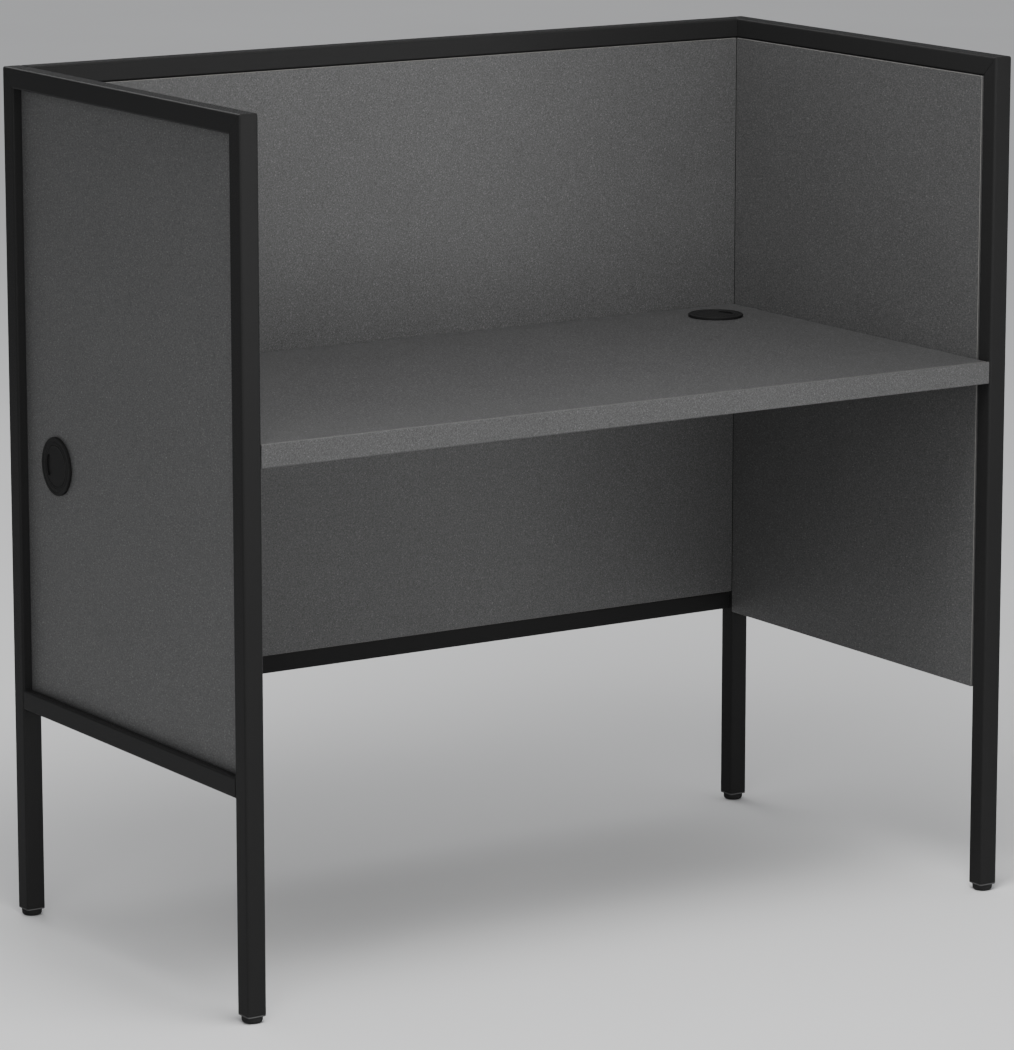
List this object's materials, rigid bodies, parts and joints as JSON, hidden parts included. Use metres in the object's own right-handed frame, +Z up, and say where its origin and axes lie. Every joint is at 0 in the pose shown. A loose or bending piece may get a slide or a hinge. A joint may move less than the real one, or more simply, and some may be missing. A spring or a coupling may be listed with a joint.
{
  "type": "study carrel",
  "caption": "Free-standing study carrel: square-tube steel frame, laminate side and back privacy panels, and a deep desktop with cable grommets, on screw-in levelling glides.",
  "frame": {"origin": "on the floor, under the middle of the object's box", "axes": "+X to the user's right when seated, +Y to the back panel, +Z up; the open front faces -Y"},
  "size_m": [1.22, 0.64, 1.182],
  "materials": {
    "powder_coat": "fine-texture black powder coat on square steel tube",
    "laminate": "graphite grey speckled laminate on particle board",
    "edge_band": "grey edge band",
    "black_plastic": "satin moulded black plastic",
    "dark_nylon": "matt moulded nylon",
    "zinc_steel": "zinc-plated steel"
  },
  "bodies": {
    "root": {"back_bottom_rail": "powder_coat", "back_desk_angle": "powder_coat", "back_panel": "laminate", "back_panel_left_dowel_1": "zinc_steel", "back_panel_left_dowel_2": "zinc_steel", "back_panel_right_dowel_1": "zinc_steel", "back_panel_right_dowel_2": "zinc_steel", "back_top_rail": "powder_coat", "desktop": "laminate", "desktop_front_band": "edge_band", "desktop_grommet_liner": "black_plastic", "left_bottom_rail": "powder_coat", "left_bottom_spigot": "powder_coat", "left_bottom_spigot_screw": "zinc_steel", "left_desk_angle": "powder_coat", "left_front_foot_insert": "dark_nylon", "left_front_post": "powder_coat", "left_panel": "laminate", "left_panel_front_dowel_1": "zinc_steel", "left_panel_front_dowel_2": "zinc_steel", "left_panel_grommet_liner": "black_plastic", "left_panel_rear_dowel_1": "zinc_steel", "left_panel_rear_dowel_2": "zinc_steel", "left_rear_foot_insert": "dark_nylon", "left_rear_post": "powder_coat", "left_top_rail": "powder_coat", "left_top_spigot": "powder_coat", "left_top_spigot_screw": "zinc_steel", "right_bottom_rail": "powder_coat", "right_bottom_spigot": "powder_coat", "right_bottom_spigot_screw": "zinc_steel", "right_desk_angle": "powder_coat", "right_front_foot_insert": "dark_nylon", "right_front_post": "powder_coat", "right_panel": "laminate", "right_panel_front_dowel_1": "zinc_steel", "right_panel_front_dowel_2": "zinc_steel", "right_panel_grommet_liner": "black_plastic", "right_panel_rear_dowel_1": "zinc_steel", "right_panel_rear_dowel_2": "zinc_steel", "right_rear_foot_insert": "dark_nylon", "right_rear_post": "powder_coat", "right_top_rail": "powder_coat", "right_top_spigot": "powder_coat", "right_top_spigot_screw": "zinc_steel"},
    "desktop_grommet_cap_body": {"desktop_grommet_cap": "black_plastic"},
    "left_front_glide_body": {"left_front_glide": "dark_nylon"},
    "left_panel_grommet_cap_body": {"left_panel_grommet_cap": "black_plastic"},
    "left_rear_glide_body": {"left_rear_glide": "dark_nylon"},
    "right_front_glide_body": {"right_front_glide": "dark_nylon"},
    "right_panel_grommet_cap_body": {"right_panel_grommet_cap": "black_plastic"},
    "right_rear_glide_body": {"right_rear_glide": "dark_nylon"}
  },
  "joints": [
    {"name": "left_front_glide_travel", "type": "slide", "parent": "root", "child": "left_front_glide_body", "axis": [0, 0, -1], "range_m": [0, 0.012]},
    {"name": "left_rear_glide_travel", "type": "slide", "parent": "root", "child": "left_rear_glide_body", "axis": [0, 0, -1], "range_m": [0, 0.012]},
    {"name": "right_front_glide_travel", "type": "slide", "parent": "root", "child": "right_front_glide_body", "axis": [0, 0, -1], "range_m": [0, 0.012]},
    {"name": "right_rear_glide_travel", "type": "slide", "parent": "root", "child": "right_rear_glide_body", "axis": [0, 0, -1], "range_m": [0, 0.012]},
    {"name": "desktop_grommet_cap_turn", "type": "hinge", "parent": "root", "child": "desktop_grommet_cap_body", "pos_m": [0.4897, 0.21, 0.7633], "axis": [0, 0, 1], "continuous": true},
    {"name": "left_panel_grommet_cap_turn", "type": "hinge", "parent": "root", "child": "left_panel_grommet_cap_body", "pos_m": [-0.5999, 0.204, 0.65], "axis": [-1, 0, 0], "continuous": true},
    {"name": "right_panel_grommet_cap_turn", "type": "hinge", "parent": "root", "child": "right_panel_grommet_cap_body", "pos_m": [0.5999, 0.204, 0.65], "axis": [1, 0, 0], "continuous": true}
  ]
}
